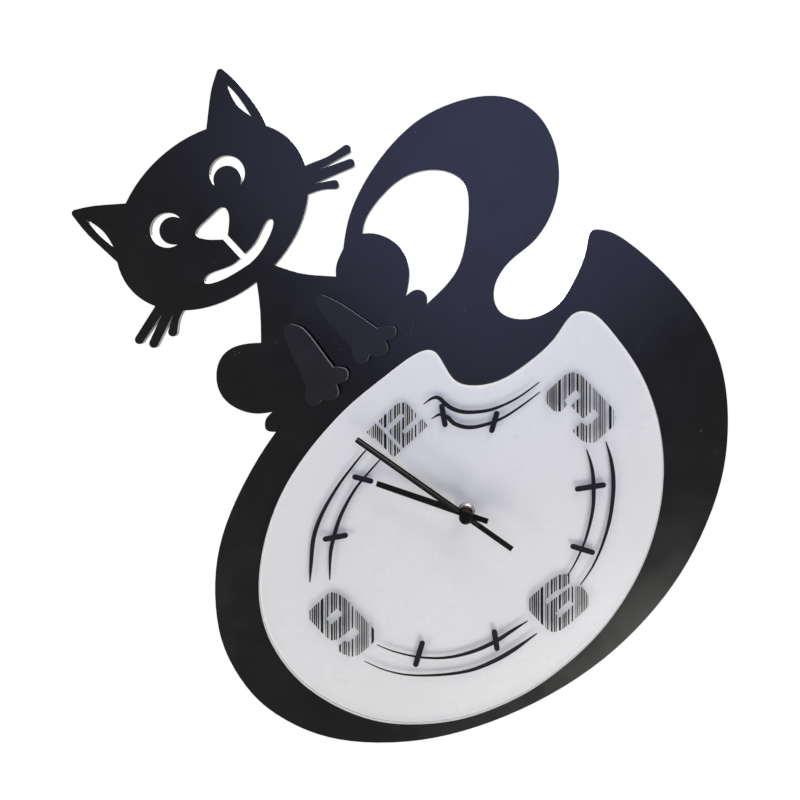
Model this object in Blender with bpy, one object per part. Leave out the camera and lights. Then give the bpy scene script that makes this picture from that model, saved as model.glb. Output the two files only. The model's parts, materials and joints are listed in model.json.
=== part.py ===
"""Wall clock: a flat cat sits on an oval dial, and its tail curls down the right-hand side.

Millimetres are used throughout and turned into metres where vertices are made.
x runs to the right and z up, from the middle of the dial, as the clock is seen from the front.
Depths are distances in front of the wall, so a depth d lies at y = -d.
The model's origin is the nail that the clock hangs on, at the wall, over the centre of mass.
"""
import math

import bmesh
import bpy
import numpy as np
from mathutils import Vector
from mathutils.geometry import delaunay_2d_cdt

MM = 0.001
TOLERANCE = 0.07      # how far a flat facet may lie from the smooth outline it stands for
GAP = 0.3             # between pieces that touch

# Hanging point and hands' axis, from the middle of the dial
HANGER_X, HANGER_Z = 5.5, 150.0
AXIS_X, AXIS_Z = -0.93, -0.4

# Layers of the face
PLATE_BACK = 20.0
PLATE_THICK = 3.0
PLATE_FRONT = PLATE_BACK + PLATE_THICK
BACKING_BACK = PLATE_FRONT + GAP
BACKING_THICK = 3.0
COVER_BACK = BACKING_BACK + BACKING_THICK + GAP
COVER_THICK = 2.0
COVER_FRONT = COVER_BACK + COVER_THICK
SPACER_THICK = 3.0
LEG_BACK = PLATE_FRONT + SPACER_THICK + 2 * GAP
LEG_THICK = 3.0

# Head: an ellipse, with the corners where other outlines leave it given by their angles
HEAD_X, HEAD_Z = 7.4, 254.8
HEAD_WIDE, HEAD_HIGH = 72.2, 52.0
EAR_TIP_R = 2.4
WHISKER_R = 3.0

# Hands
MINUTE_ANGLE, MINUTE_LENGTH, MINUTE_TAIL = -11.8, 84.9, 35.9
HOUR_ANGLE, HOUR_LENGTH, HOUR_TAIL = -28.1, 60.6, 14.85
HOUR_WIDTHS = (3.5, 4.2, 3.4)        # at the tip, the hub and the tail
MINUTE_WIDTHS = (3.6, 3.8, 3.3)
HAND_THICK = 0.8
HAND_HUB_R = 4.3
BUSH_WALL, BUSH_BELOW, BUSH_ABOVE = 0.75, 1.1, 1.0
CAP_R = 4.4
CAP_THICK = 1.9
RIB_HALF, RIB_HIGH = 0.45, 0.35      # the pressed rib along the minute hand
RIB_TAIL, RIB_SHORT = 9.6, 0.6       # where it starts on the tail, and how far short of the tip it ends

# Shafts on the hands' axis, from the inside out
SHAFT_R = 1.2
PIPE_INNER_R, PIPE_OUTER_R = 1.45, 2.2
TUBE_INNER_R, TUBE_OUTER_R = 2.5, 4.0
PLATE_HOLE_R = 4.6
WASHER_R, NUT_R, GASKET_R = 5.7, 5.2, 10.0
WASHER_THICK, NUT_THICK = 0.6, 2.5
TUBE_FRONT = 32.6
HOUR_HAND_BACK = 34.1
MINUTE_HAND_BACK = 38.5
PIPE_END = HOUR_HAND_BACK + 1.4
SHAFT_END = MINUTE_HAND_BACK + 2.1

# Movement case, from the hands' axis
CASE_LEFT, CASE_RIGHT = -28.0, 28.0
CASE_BOTTOM, CASE_TOP = -28.6, 28.0
CASE_WALL = 1.3
CASE_FLOOR = 1.5
GASKET_THICK = 1.0
CASE_FRONT = PLATE_BACK - GASKET_THICK - 2 * GAP
CASE_INSIDE = CASE_FRONT - CASE_FLOOR
CASE_REAR = 3.0
BAY_TOP = -12.2
COVER_REAR, COVER_INSIDE = 4.6, 6.0

# Gear train: module, tooth counts, and where each arbor stands
MODULE = 0.3
HOUR_MODULE = 0.288
ROTOR_MODULE = 0.22
CANNON_TEETH, MINUTE_WHEEL_TEETH = 12, 36
MINUTE_PINION_TEETH, HOUR_WHEEL_TEETH = 10, 40
SETTING_TEETH = 12
CENTRE_TEETH, THIRD_PINION_TEETH = 64, 8
THIRD_TEETH, SECONDS_PINION_TEETH = 60, 8
SECONDS_TEETH, INTERMEDIATE_PINION_TEETH = 30, 6
INTERMEDIATE_TEETH, ROTOR_TEETH = 36, 6
MINUTE_WHEEL_ANGLE = 150.0
THIRD_ANGLE = 40.0
SECONDS_ANGLE = 120.0
INTERMEDIATE_ANGLE = 180.0
ROTOR_ANGLE = 180.0
ARBOR_R = 0.37
PIVOT_R = 0.6         # holes and cups that arbors turn in
STUD_R = 0.8

# Battery (size AA) across the bottom of the case
BATTERY_R = 7.0
BATTERY_Z = -19.7
BATTERY_DEPTH = 9.6

# Pieces between the clock and the wall
PAD_THICK = 2.5
PAD_R, STANDOFF_R = 6.0, 7.0
STANDOFFS = {"head": (7.0, 287.0), "tail": (170.0, 150.0),
             "lower_left": (-112.0, -50.0), "lower_right": (112.0, -55.0)}


# ---------------------------------------------------------------- outlines

def thin_out(points):
    """Drop points of a run that lie within TOLERANCE of the line between their neighbours."""
    if len(points) < 3:
        return points
    first, last = np.array(points[0]), np.array(points[-1])
    chord = last - first
    rest = np.array(points[1:-1]) - first
    length = np.linalg.norm(chord)
    if length < TOLERANCE:
        away = np.linalg.norm(rest, axis=1)
    else:
        away = np.abs(rest[:, 0] * chord[1] - rest[:, 1] * chord[0]) / length
    furthest = int(np.argmax(away))
    if away[furthest] < TOLERANCE:
        return [points[0], points[-1]]
    middle = furthest + 1
    return thin_out(points[:middle + 1])[:-1] + thin_out(points[middle:])


def curvatures(steps, heights, closed):
    """Second derivatives of the cubic spline through heights, at uneven steps."""
    count = len(heights)
    rows = np.eye(count)
    values = np.zeros(count)
    for i in range(count if closed else count - 1):
        if i == 0 and not closed:
            continue
        before, after = steps[i - 1], steps[i % len(steps)]
        nxt = (i + 1) % count
        rows[i] = 0
        rows[i, i - 1] += before
        rows[i, i] += 2 * (before + after)
        rows[i, nxt] += after
        values[i] = 6 * ((heights[nxt] - heights[i]) / after - (heights[i] - heights[i - 1]) / before)
    return np.linalg.solve(rows, values)


def smooth(points, closed=False):
    """The smooth curve through the points, as short straight pieces."""
    knots = np.array(points, float)
    if len(knots) == 2:
        return [tuple(p) for p in knots]
    ahead = np.roll(knots, -1, axis=0) if closed else knots[1:]
    behind = knots if closed else knots[:-1]
    steps = np.sqrt(np.linalg.norm(ahead - behind, axis=1))
    bend = np.stack([curvatures(steps, knots[:, axis], closed) for axis in (0, 1)], axis=1)
    bend_ahead = np.roll(bend, -1, axis=0) if closed else bend[1:]
    curve = []
    for a, b, m_a, m_b, h in zip(behind, ahead, bend, bend_ahead, steps):
        for u in np.linspace(0, 1, 24, endpoint=False):
            v = 1 - u
            point = v * a + u * b + h * h / 6 * ((v ** 3 - v) * m_a + (u ** 3 - u) * m_b)
            curve.append(tuple(point))
    curve.append(tuple(ahead[-1]))
    if not closed:
        return thin_out(curve)
    half = len(curve) // 2
    return (thin_out(curve[:half + 1])[:-1] + thin_out(curve[half:]))[:-1]


def outline(*runs):
    """One closed outline from runs that each start where the one before them ended."""
    return [point for run in runs for point in run[:-1]]


def arc(x, z, radius, start, end, high=None):
    """Points on an arc of a circle, or of an ellipse if high is given, from angle start to end."""
    tall = radius if high is None else high
    widest = max(radius, tall)
    step = 2 * math.degrees(math.acos(1 - TOLERANCE / widest)) if widest > TOLERANCE else 30
    count = max(2, math.ceil(abs(end - start) / step))
    angles = [math.radians(start + (end - start) * i / count) for i in range(count + 1)]
    return [(x + radius * math.cos(a), z + tall * math.sin(a)) for a in angles]


def circle(radius, x=0.0, z=0.0, sides=32):
    turns = [2 * math.pi * i / sides for i in range(sides)]
    return [(x + radius * math.cos(a), z + radius * math.sin(a)) for a in turns]


def box(left, bottom, right, top):
    return [(right, top), (left, top), (left, bottom), (right, bottom)]


def rounded_box(left, bottom, right, top, radius):
    corners = [(right - radius, top - radius, 0), (left + radius, top - radius, 90),
               (left + radius, bottom + radius, 180), (right - radius, bottom + radius, 270)]
    return [point for x, z, start in corners for point in arc(x, z, radius, start, start + 90)]


def tip(before, centre, radius, after):
    """The round end of a point that leaves from before, anticlockwise, and returns to after."""
    x, z = centre
    out = math.atan2(z - before[1], x - before[0])
    back = math.atan2(z - after[1], x - after[0])
    lean_out = math.asin(radius / math.dist(before, centre))
    lean_back = math.asin(radius / math.dist(after, centre))
    start = math.degrees(out - lean_out) - 90
    end = math.degrees(back + lean_back) + 90
    while end < start:
        end += 360
    while end > start + 360:
        end -= 360
    return arc(x, z, radius, start, end)


def crescent(x, z, radius, inner_x, inner_z, inner_radius, blunt=9.0):
    """What a smaller circle leaves uncovered of a circle, its horns cut blunt degrees short."""
    apart = math.dist((x, z), (inner_x, inner_z))
    towards = math.degrees(math.atan2(inner_z - z, inner_x - x))
    along = (apart ** 2 + radius ** 2 - inner_radius ** 2) / (2 * apart)
    half = math.degrees(math.acos(along / radius))
    inner_half = math.degrees(math.acos((along - apart) / inner_radius))
    outer_run = arc(x, z, radius, towards + half + blunt, towards + 360 - half - blunt)
    inner_start, inner_end = towards + 360 - inner_half - blunt, towards + inner_half + blunt
    inner_run = arc(inner_x, inner_z, inner_radius, inner_start, inner_end)
    return [*outer_run, *inner_run]


def gear(teeth, module, phase):
    """A toothed outline with one tooth centred on the angle phase."""
    pitch_r = teeth * module / 2
    root_r, tip_r = pitch_r - 1.15 * module, pitch_r + 0.7 * module
    pitch = 2 * math.pi / teeth
    corners = [(-0.05, tip_r), (0.05, tip_r), (0.5, root_r)]
    points = []
    for tooth in range(teeth):
        for share, radius in corners:
            angle = math.radians(phase) + (tooth + share) * pitch
            points.append((radius * math.cos(angle), radius * math.sin(angle)))
    return points


def gap_phase(teeth, direction):
    """The phase that puts a gap between teeth, not a tooth, on the angle direction."""
    return direction + 180.0 / teeth


def head_point(angle):
    turn = math.radians(angle)
    return (HEAD_X + HEAD_WIDE * math.cos(turn), HEAD_Z + HEAD_HIGH * math.sin(turn))


def head_run(start, end):
    return arc(HEAD_X, HEAD_Z, HEAD_WIDE, start, end, HEAD_HIGH)


def pointed(before, out_points, centre, radius, back_points, after):
    """Runs out from before to a round tip and back to after, as a whisker or an ear has."""
    nearest_out = out_points[-1] if out_points else before
    nearest_back = back_points[0] if back_points else after
    end = tip(nearest_out, centre, radius, nearest_back)
    return [smooth([before, *out_points, end[0]]), end, smooth([end[-1], *back_points, after])]


def right_whiskers(lowest, highest):
    notch_low, notch_high = (71.4, 224.6), (80.4, 228.9)
    return (pointed(lowest, [(72.9, 217.9)], (81.0, 215.0), WHISKER_R, [], notch_low)
            + pointed(notch_low, [], (98.1, 218.1), WHISKER_R, [], notch_high)
            + pointed(notch_high, [], (102.6, 226.6), WHISKER_R, [(90.0, 231.7), (81.4, 235.0)], highest))


def left_whiskers(highest, lowest):
    notch_high, notch_low = (-60.7, 230.0), (-55.3, 225.0)
    return (pointed(highest, [], (-83.1, 228.0), WHISKER_R, [], notch_high)
            + pointed(notch_high, [], (-77.9, 219.7), WHISKER_R, [], notch_low)
            + pointed(notch_low, [], (-63.6, 216.7), WHISKER_R, [(-54.5, 220.0)], lowest))


def cat_and_rim():
    """The outer edge of the black plate, anticlockwise from the right of the neck."""
    neck_right, neck_left = head_point(276.6), head_point(263.7)
    chest_left, chest_right = (-25.8, 171.7), (40.2, 170.0)
    left_knee, left_heel = (-51.7, 133.3), (-58.8, 122.0)
    tail_root = (56.3, 180.2)
    right_ear = pointed(head_point(21.7), [(77.3, 283.0), (79.3, 297.1), (79.6, 311.4)], (76.3, 320.6),
                        EAR_TIP_R, [(64.3, 316.4), (54.3, 308.3)], head_point(59.5))
    left_ear = pointed(head_point(119.7), [(-37.0, 307.0), (-47.0, 314.6)], (-57.2, 317.8),
                       EAR_TIP_R, [(-60.7, 304.3), (-60.3, 294.3)], head_point(156.8))
    left_neck = smooth([neck_left, (-6.1, 195.0), (-14.4, 184.4), chest_left])
    left_haunch = smooth([chest_left, (-38.9, 181.1), (-52.0, 182.4), (-64.4, 173.3), (-68.8, 158.5),
                          (-61.8, 141.6), left_knee])
    left_foot = smooth([left_knee, (-58.2, 132.4), (-62.4, 127.3), left_heel])
    rim_and_tail = smooth([
        left_heel, (-80.0, 117.0), (-120.0, 102.0), (-150.0, 82.2), (-170.0, 60.0), (-182.0, 38.0),
        (-188.0, 6.0), (-183.8, -21.0), (-172.5, -46.3), (-152.0, -71.5), (-120.0, -97.0),
        (-80.0, -117.0), (-40.0, -129.4), (0.0, -135.3), (40.0, -134.4), (80.0, -126.6),
        (120.0, -110.3), (150.0, -90.2), (179.0, -58.3), (195.5, -22.7), (200.2, 22.0),
        (195.0, 62.5), (190.0, 72.3), (184.0, 76.9), (173.0, 70.1), (150.0, 59.6), (132.9, 56.4),
        (113.0, 63.8), (103.6, 79.3), (112.3, 93.6), (133.3, 99.0), (151.0, 97.9), (176.0, 105.0),
        (200.0, 126.3), (210.5, 157.3), (198.4, 185.6), (165.0, 205.0), (138.0, 209.2),
        (106.7, 205.4), (75.2, 193.8), tail_root])
    right_haunch = smooth([tail_root, (50.0, 177.7), (44.4, 174.4), chest_right])
    right_neck = smooth([chest_right, (33.3, 177.2), (25.6, 186.1), (20.0, 195.0), neck_right])
    return outline(head_run(276.6, 321.2), *right_whiskers(head_point(321.2), head_point(340.3)),
                   head_run(-19.7, 21.7), *right_ear, head_run(59.5, 119.7), *left_ear,
                   head_run(156.8, 200.0), *left_whiskers(head_point(200.0), head_point(218.8)),
                   head_run(218.8, 263.7), left_neck, left_haunch, left_foot, rim_and_tail,
                   right_haunch, right_neck)


def tail_opening():
    """The gap between the cat's right side and its tail."""
    top, ankle, knee = (72.2, 178.9), (71.9, 115.8), (65.5, 129.2)
    tail_side = smooth([top, (81.2, 184.6), (100.0, 188.4), (120.3, 186.5), (138.5, 174.3),
                        (144.3, 159.0), (138.0, 146.4), (120.1, 129.8), (100.0, 118.1), ankle])
    foot = smooth([ankle, (75.9, 121.8), (73.0, 127.5), knee])
    haunch = smooth([knee, (78.9, 140.6), (84.3, 156.0), (79.2, 172.0), top])
    return outline(tail_side, foot, haunch)


def nose_and_mouth():
    """Nose, the line under it and the smile, cut as one opening."""
    nose_low_right, nose_low_left = (6.5, 238.6), (2.4, 238.6)
    lip_right, lip_left = (6.5, 221.9), (2.4, 221.9)
    nose_right = smooth([(5.0, 255.7), (16.6, 254.5), (16.9, 249.2), nose_low_right])
    nose_left = smooth([nose_low_left, (-7.3, 248.4), (-8.3, 254.0), (5.0, 255.7)])
    smile_right = smooth([lip_right, (18.6, 223.4), (33.0, 227.9), (35.0, 225.2), (17.1, 216.3),
                          (4.5, 215.0)])
    smile_left = smooth([(4.5, 215.0), (-17.1, 219.9), (-26.0, 226.0), (-21.8, 228.5), (-7.1, 223.1),
                         lip_left])
    return outline(nose_left, nose_right, [nose_low_right, lip_right], smile_right, smile_left,
                   [lip_left, nose_low_left])


def ear_slits():
    left_top, left_low = (-54.7, 310.0), (-54.0, 284.3)
    right_top, right_low = (73.9, 312.1), (71.4, 285.7)
    left = outline(smooth([left_top, (-55.4, 297.0), left_low]),
                   smooth([left_low, (-51.9, 296.4), left_top]))
    right = outline(smooth([right_top, (69.7, 297.1), right_low]),
                    smooth([right_low, (74.0, 301.4), right_top]))
    return [left, right]


def dial_edge():
    return smooth([(-156.0, -2.0), (-154.0, -20.0), (-148.5, -38.5), (-137.0, -60.5), (-121.0, -78.5),
                   (-100.5, -94.5), (-80.0, -105.0), (-60.0, -112.0), (-40.0, -116.2), (-10.0, -118.4),
                   (20.0, -116.0), (60.5, -104.0), (101.0, -78.5), (129.0, -45.3), (144.0, -9.5),
                   (148.0, 20.0), (146.7, 38.0), (137.5, 45.2), (118.3, 42.0), (90.0, 42.5),
                   (70.0, 47.3), (55.0, 58.2), (51.0, 70.0), (54.2, 88.3), (47.0, 95.7),
                   (20.0, 99.7), (-10.0, 101.6), (-50.0, 98.0), (-90.0, 86.0), (-130.5, 58.5),
                   (-151.0, 27.5)], closed=True)


def left_leg_edge():
    shin_right, toe_1, toe_2, shin_left = (-0.6, 127.0), (-6.7, 117.6), (-19.5, 116.4), (-21.2, 130.3)
    return outline(smooth([shin_left, (-16.5, 145.0), (-11.0, 160.0), (-4.5, 168.0), (1.2, 162.0),
                           (2.3, 153.0), shin_right][::-1]),
                   smooth([shin_left, (-28.0, 123.0), (-26.5, 116.9), toe_2]),
                   smooth([toe_2, (-15.0, 111.4), (-9.6, 112.3), toe_1]),
                   smooth([toe_1, (0.8, 115.3), (4.6, 120.2), shin_right]))


def right_leg_edge():
    shin_right, toe_1, toe_2, shin_left = (37.6, 126.0), (36.0, 117.0), (22.9, 116.8), (16.8, 127.5)
    return outline(smooth([shin_left, (17.3, 145.0), (19.4, 161.5), (24.0, 168.0), (28.0, 163.0),
                           (32.0, 151.0), shin_right][::-1]),
                   smooth([shin_left, (12.6, 120.3), (15.5, 115.2), toe_2]),
                   smooth([toe_2, (27.0, 111.3), (33.6, 111.6), toe_1]),
                   smooth([toe_1, (42.0, 114.4), (46.4, 118.5), shin_right]))


def hand_edge(length, tail, tip_width, hub_width, tail_width):
    """A tapered hand that points up, with the tail of the hand below its axis."""
    tip_half, hub_half, tail_half = tip_width / 2, hub_width / 2, tail_width / 2
    reach = math.sqrt(HAND_HUB_R ** 2 - hub_half ** 2)
    tail_reach = math.sqrt(HAND_HUB_R ** 2 - tail_half ** 2)
    hub_start = math.degrees(math.atan2(-tail_reach, tail_half))
    hub_end = math.degrees(math.atan2(reach, hub_half))
    right_hub = arc(0, 0, HAND_HUB_R, hub_start, hub_end)
    left_hub = arc(0, 0, HAND_HUB_R, 180 - hub_end, 180 - hub_start)
    return [(tail_half, -tail), *right_hub, (tip_half, length), (-tip_half, length), *left_hub,
            (-tail_half, -tail)]


# ---------------------------------------------------------------- solids

def lies_inside(point, starts, ends):
    """Whether a line rightwards from the point crosses an odd number of the edges."""
    above_start, above_end = starts[:, 1] > point[1], ends[:, 1] > point[1]
    crossing = above_start != above_end
    tail, head = starts[crossing], ends[crossing]
    share = (point[1] - tail[:, 1]) / (head[:, 1] - tail[:, 1])
    return np.count_nonzero(tail[:, 0] + share * (head[:, 0] - tail[:, 0]) > point[0]) % 2 == 1


def fill(bm, rings):
    """Cover what lies inside an odd number of the rings, which are all at one depth."""
    verts = [vert for ring in rings for vert in ring]
    flat = np.array([(vert.co.x / MM, vert.co.z / MM) for vert in verts])
    edges = []
    for ring in rings:
        first = len(edges)
        edges += [(first + i, first + (i + 1) % len(ring)) for i in range(len(ring))]
    made = delaunay_2d_cdt([Vector(point) for point in flat], edges, [], 1, 1e-6)
    starts, ends = (flat[[edge[side] for edge in edges]] for side in (0, 1))
    for face in made[2]:
        corners = [made[3][corner][0] for corner in face]
        if lies_inside(flat[corners].mean(axis=0), starts, ends):
            bm.faces.new([verts[corner] for corner in corners])


def ring_at(bm, loop, depth):
    return [bm.verts.new((x * MM, -depth * MM, z * MM)) for x, z in loop]


def wall(bm, back, front):
    for i in range(len(back)):
        j = (i + 1) % len(back)
        bm.faces.new((back[i], back[j], front[j], front[i]))


def layered_mesh(name, depths, levels):
    """A solid whose section, a list of loops, changes from level to level between the depths.

    A loop that two neighbouring levels share has one unbroken wall. What lies inside an odd
    number of a level's loops is solid.
    """
    bm = bmesh.new()
    running = {}
    for plane, depth in enumerate(depths):
        below = levels[plane - 1] if plane else []
        above = levels[plane] if plane < len(levels) else []
        ending = [loop for loop in below if not any(loop is other for other in above)]
        starting = [loop for loop in above if not any(loop is other for other in below)]
        rings = []
        for loop in ending:
            ring = ring_at(bm, loop, depth)
            wall(bm, running.pop(id(loop)), ring)
            rings.append(ring)
        for loop in starting:
            ring = ring_at(bm, loop, depth)
            running[id(loop)] = ring
            rings.append(ring)
        fill(bm, rings)
    bmesh.ops.recalc_face_normals(bm, faces=bm.faces)
    mesh = bpy.data.meshes.new(name)
    bm.to_mesh(mesh)
    bm.free()
    return mesh


def turned_mesh(name, profile, sides, along_x=False):
    """A profile of (radius, depth) points turned about the depth axis, or about x.

    It starts and ends on the axis, or else its last point joins its first.
    """
    bm = bmesh.new()
    rings = []
    for radius, depth in profile:
        if radius == 0:
            rings.append([bm.verts.new((0, -depth * MM, 0))])
        else:
            rings.append(ring_at(bm, circle(radius, sides=sides), depth))
    pairs = list(zip(rings, rings[1:]))
    if profile[0][0] > 0:
        pairs.append((rings[-1], rings[0]))
    for one, two in pairs:
        for i in range(sides):
            j = (i + 1) % sides
            corners = ([one[0]] if len(one) == 1 else [one[i], one[j]])
            corners += ([two[0]] if len(two) == 1 else [two[j], two[i]])
            bm.faces.new(corners)
    if along_x:
        for vert in bm.verts:
            vert.co = (-vert.co.y, vert.co.x, vert.co.z)
    bmesh.ops.recalc_face_normals(bm, faces=bm.faces)
    mesh = bpy.data.meshes.new(name)
    bm.to_mesh(mesh)
    bm.free()
    return mesh


def finish(obj, colour, roughness, metallic=0.0, alpha=1.0):
    material = bpy.data.materials.new(obj.name)
    material.use_nodes = True
    shader = material.node_tree.nodes["Principled BSDF"]
    shader.inputs["Base Color"].default_value = (*colour, 1.0)
    shader.inputs["Roughness"].default_value = roughness
    shader.inputs["Metallic"].default_value = metallic
    shader.inputs["Alpha"].default_value = alpha
    obj.data.materials.append(material)


def place(mesh, parent, look, at=(0.0, 0.0), depth=0.0, angle=0.0):
    """Stand a mesh on its parent, turned clockwise by angle as seen from the front."""
    mesh.shade_smooth()
    mesh.set_sharp_from_angle(angle=math.radians(30))
    obj = bpy.data.objects.new(mesh.name, mesh)
    bpy.context.scene.collection.objects.link(obj)
    obj.parent = parent
    obj.location = (at[0] * MM, -depth * MM, at[1] * MM)
    obj.rotation_euler = (0, math.radians(angle), 0)
    finish(obj, *look)
    return obj


def slab(name, parent, look, back, thick, loops, at=(0.0, 0.0), angle=0.0):
    return place(layered_mesh(name, [back, back + thick], [loops]), parent, look, at, angle=angle)


BLACK_ACRYLIC = ((0.011, 0.011, 0.014), 0.45)
WHITE_ACRYLIC = ((0.72, 0.72, 0.74), 0.5)
CLEAR_ACRYLIC = ((0.9, 0.9, 0.95), 0.05, 0.0, 0.35)
BLACK_PAINT = ((0.008, 0.008, 0.008), 0.55)
BLACK_PLASTIC = ((0.02, 0.02, 0.02), 0.5)
WHITE_PLASTIC = ((0.75, 0.75, 0.72), 0.45)
GREEN_BOARD = ((0.02, 0.12, 0.05), 0.5)
RUBBER = ((0.02, 0.02, 0.02), 0.9)
BRASS = ((0.6, 0.45, 0.2), 0.3, 1.0)
STEEL = ((0.55, 0.55, 0.55), 0.3, 1.0)
COPPER = ((0.55, 0.25, 0.12), 0.35, 1.0)
BATTERY_WRAP = ((0.05, 0.12, 0.3), 0.4)


# ---------------------------------------------------------------- the face

def make_face(face):
    shaft_hole = circle(PLATE_HOLE_R, AXIS_X, AXIS_Z)
    eyes = [crescent(-20.3, 268.2, 11.6, -17.7, 265.4, 9.2), crescent(34.1, 268.8, 11.8, 31.4, 265.7, 9.2)]
    slab("body_plate", face, BLACK_ACRYLIC, PLATE_BACK, PLATE_THICK,
         [cat_and_rim(), tail_opening(), nose_and_mouth(), *eyes, *ear_slits(), shaft_hole])
    slab("dial_backing", face, WHITE_ACRYLIC, BACKING_BACK, BACKING_THICK, [dial_edge(), shaft_hole])
    slab("dial_cover", face, CLEAR_ACRYLIC, COVER_BACK, COVER_THICK, [dial_edge(), shaft_hole])
    slab("left_leg", face, BLACK_ACRYLIC, LEG_BACK, LEG_THICK, [left_leg_edge()])
    slab("right_leg", face, BLACK_ACRYLIC, LEG_BACK, LEG_THICK, [right_leg_edge()])
    spacers = {"left_leg_spacer_upper": (-4.5, 156.0), "left_leg_spacer_lower": (-10.5, 125.0),
               "right_leg_spacer_upper": (24.3, 156.0), "right_leg_spacer_lower": (27.5, 125.0)}
    for name, at in spacers.items():
        slab(name, face, BLACK_PLASTIC, PLATE_FRONT + GAP, SPACER_THICK, [circle(4.0, sides=20)], at)


def make_hands(axis):
    hour_hole = circle(PIPE_OUTER_R + BUSH_WALL + 2 * GAP, sides=24)
    hour_edge = hand_edge(HOUR_LENGTH, HOUR_TAIL, *HOUR_WIDTHS)
    slab("hour_hand", axis, BLACK_PAINT, HOUR_HAND_BACK, HAND_THICK, [hour_edge, hour_hole],
         angle=HOUR_ANGLE)
    flange, pipe_hole = circle(HAND_HUB_R, sides=24), circle(PIPE_OUTER_R + GAP, sides=24)
    collar = circle(PIPE_OUTER_R + BUSH_WALL + GAP, sides=24)
    depths = [HOUR_HAND_BACK - BUSH_BELOW, HOUR_HAND_BACK - GAP, HOUR_HAND_BACK + BUSH_ABOVE]
    place(layered_mesh("hour_hand_bush", depths, [[flange, pipe_hole], [collar, pipe_hole]]),
          axis, BRASS, angle=HOUR_ANGLE)

    minute_hole = circle(SHAFT_R + BUSH_WALL + 2 * GAP, sides=24)
    minute_edge = hand_edge(MINUTE_LENGTH, MINUTE_TAIL, *MINUTE_WIDTHS)
    rib_start = HAND_HUB_R + 1
    rib = box(-RIB_HALF, rib_start, RIB_HALF, MINUTE_LENGTH - RIB_SHORT)
    tail_rib = box(-RIB_HALF, -RIB_TAIL, RIB_HALF, -rib_start)
    front = MINUTE_HAND_BACK + HAND_THICK
    place(layered_mesh("minute_hand", [MINUTE_HAND_BACK, front, front + RIB_HIGH],
                       [[minute_edge, minute_hole], [rib, tail_rib]]), axis, BLACK_PAINT,
          angle=MINUTE_ANGLE)
    flange, shaft_hole = circle(3.5, sides=24), circle(SHAFT_R + GAP, sides=24)
    collar = circle(SHAFT_R + BUSH_WALL + GAP, sides=24)
    depths = [MINUTE_HAND_BACK - BUSH_BELOW, MINUTE_HAND_BACK - GAP, MINUTE_HAND_BACK + BUSH_ABOVE]
    place(layered_mesh("minute_hand_bush", depths, [[flange, shaft_hole], [collar, shaft_hole]]),
          axis, BRASS, angle=MINUTE_ANGLE)
    cap_back = front + RIB_HIGH + GAP
    hollow, rim, cap_front = cap_back + CAP_THICK / 2, cap_back + 1.0, cap_back + CAP_THICK
    profile = [(0, hollow), (SHAFT_R + GAP, hollow), (SHAFT_R + GAP, cap_back), (CAP_R - 0.2, cap_back),
               (CAP_R, cap_back + 0.2), (CAP_R, rim), (CAP_R - 0.4, cap_front - 0.4),
               (CAP_R - 1.2, cap_front - 0.1), (0, cap_front)]
    place(turned_mesh("hand_cap", profile, 32), axis, BLACK_PAINT, angle=MINUTE_ANGLE)


def make_clamp(axis):
    """What clamps the movement to the face: gasket behind the plate, washer and nut in front."""
    tube_hole = circle(TUBE_OUTER_R + GAP, sides=24)
    slab("rubber_gasket", axis, RUBBER, CASE_FRONT + GAP, GASKET_THICK, [circle(GASKET_R), tube_hole])
    slab("washer", axis, BRASS, COVER_FRONT + GAP, WASHER_THICK, [circle(WASHER_R), tube_hole])
    nut_back = COVER_FRONT + WASHER_THICK + 2 * GAP
    nut_front = nut_back + NUT_THICK
    profile = [(TUBE_OUTER_R + GAP, nut_back + 0.2), (TUBE_OUTER_R + GAP, nut_front - 0.2),
               (TUBE_OUTER_R + 0.5, nut_front), (NUT_R - 0.3, nut_front), (NUT_R, nut_front - 0.3),
               (NUT_R, nut_back + 0.3), (NUT_R - 0.3, nut_back), (TUBE_OUTER_R + 0.5, nut_back)]
    place(turned_mesh("shaft_nut", profile, 32), axis, BRASS)


# ---------------------------------------------------------------- the movement

def step(start, distance, angle):
    turn = math.radians(angle)
    return (start[0] + distance * math.cos(turn), start[1] + distance * math.sin(turn))


def meshing_distance(teeth, other_teeth, module):
    return (teeth + other_teeth) * module / 2


CENTRE_AT = (0.0, 0.0)
MINUTE_WHEEL_AT = step(CENTRE_AT, meshing_distance(CANNON_TEETH, MINUTE_WHEEL_TEETH, MODULE),
                       MINUTE_WHEEL_ANGLE)
SETTING_AT = step(MINUTE_WHEEL_AT, meshing_distance(MINUTE_WHEEL_TEETH, SETTING_TEETH, MODULE),
                  MINUTE_WHEEL_ANGLE)
THIRD_AT = step(CENTRE_AT, meshing_distance(CENTRE_TEETH, THIRD_PINION_TEETH, MODULE), THIRD_ANGLE)
SECONDS_AT = step(THIRD_AT, meshing_distance(THIRD_TEETH, SECONDS_PINION_TEETH, MODULE), SECONDS_ANGLE)
INTERMEDIATE_AT = step(SECONDS_AT, meshing_distance(SECONDS_TEETH, INTERMEDIATE_PINION_TEETH, MODULE),
                       INTERMEDIATE_ANGLE)
ROTOR_AT = step(INTERMEDIATE_AT, meshing_distance(INTERMEDIATE_TEETH, ROTOR_TEETH, ROTOR_MODULE),
                ROTOR_ANGLE)


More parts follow.
